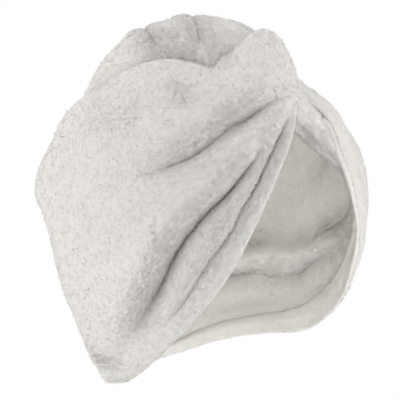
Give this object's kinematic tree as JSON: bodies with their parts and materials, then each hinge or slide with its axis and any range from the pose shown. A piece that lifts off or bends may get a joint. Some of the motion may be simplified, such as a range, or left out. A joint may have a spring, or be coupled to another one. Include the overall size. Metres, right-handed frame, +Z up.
{
  "type": "hair turban towel",
  "caption": "Fleece hair turban towel in its worn form: open hood with pleats gathered to a front twist, tail folded back over the crown to the nape.",
  "frame": {"origin": "inside of the crown where it bears on the top of the wearer's head", "axes": "+Z up, the wearer faces -Y, +X is the wearer's left"},
  "size_m": [0.2122, 0.2314, 0.2602],
  "materials": {
    "fleece": "short velvety coral fleece pile",
    "fleece_hem": "turned fleece edge, pile pressed flat",
    "fleece_tail": "short velvety coral fleece pile",
    "button": "matt"
  },
  "bodies": {
    "root": {"hood": "fleece", "hem_near": "fleece_hem", "hem_far": "fleece_hem", "tail": "fleece_tail", "nape_button": "button"}
  },
  "joints": []
}
